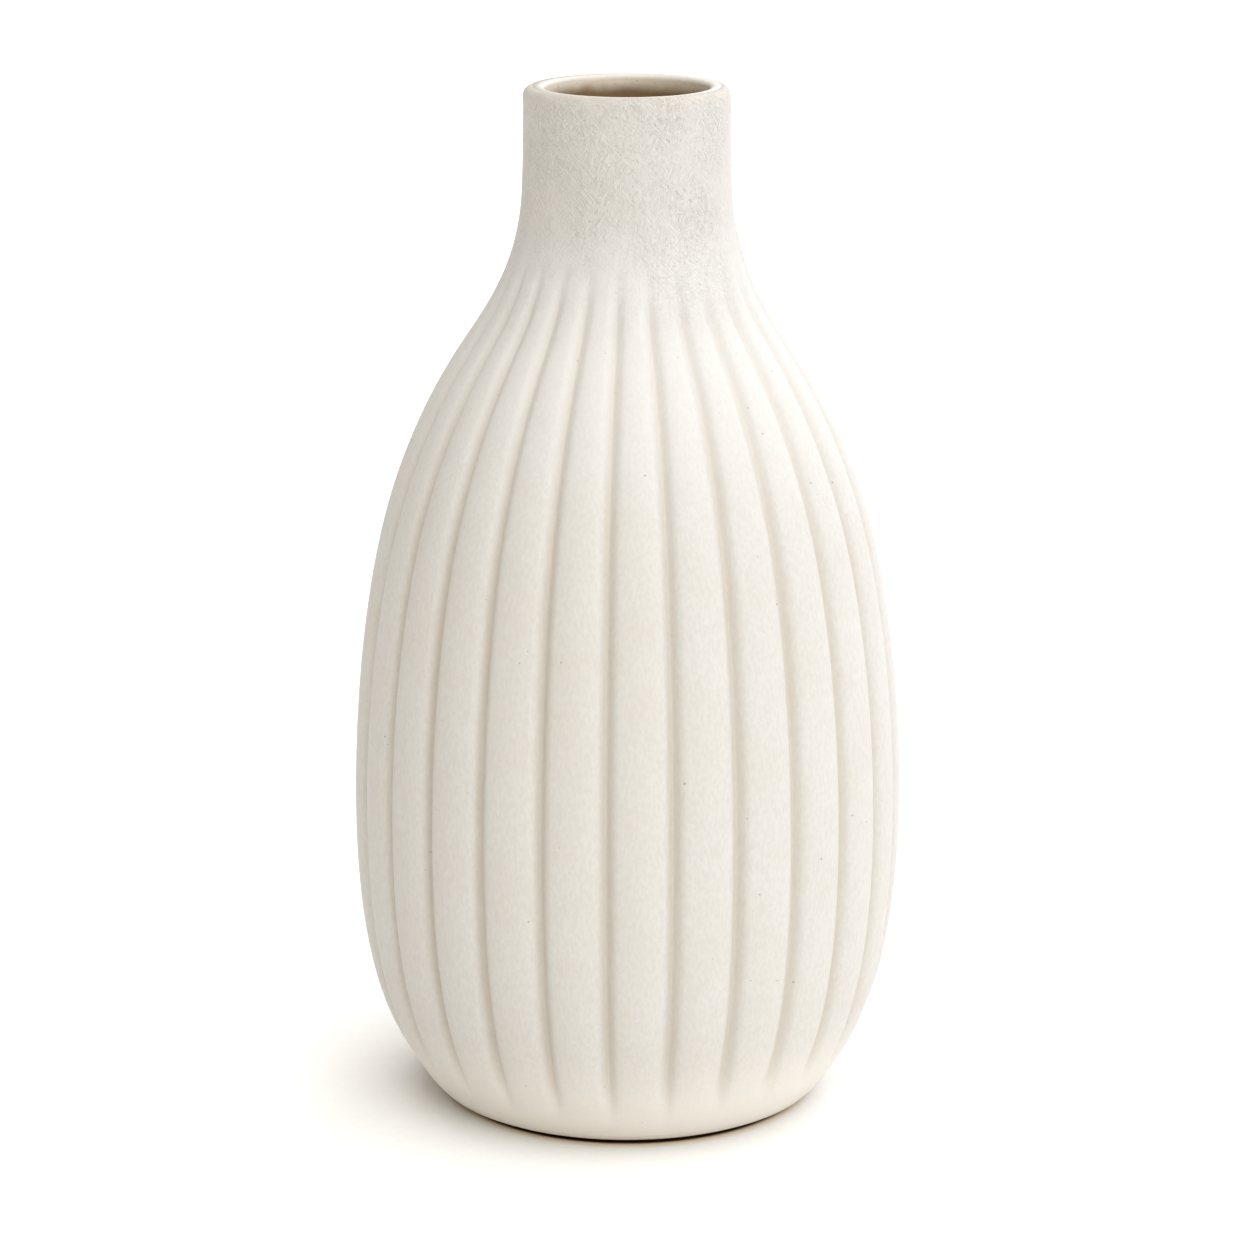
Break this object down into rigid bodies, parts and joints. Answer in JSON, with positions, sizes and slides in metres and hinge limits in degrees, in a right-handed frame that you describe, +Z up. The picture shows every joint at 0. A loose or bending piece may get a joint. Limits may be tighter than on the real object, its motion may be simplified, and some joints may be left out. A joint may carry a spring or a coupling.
{
  "type": "bud vase",
  "caption": "Ribbed stoneware bud vase with a round belly, a concave shoulder and a straight narrow neck, glazed inside and standing on thin pads.",
  "frame": {"origin": "on the floor at the centre of the foot, under the pads", "axes": "+Z up along the vase's axis, towards the mouth, with the middle of one rib facing -Y"},
  "size_m": [0.1072, 0.1078, 0.2],
  "materials": {
    "stoneware": "matt, fine brushed grain",
    "glaze": "satin glaze",
    "pad": "matt"
  },
  "bodies": {
    "root": {"vase_body": "stoneware", "interior_glaze": "glaze", "foot_pad_1": "pad", "foot_pad_2": "pad", "foot_pad_3": "pad", "foot_pad_4": "pad"}
  },
  "joints": []
}
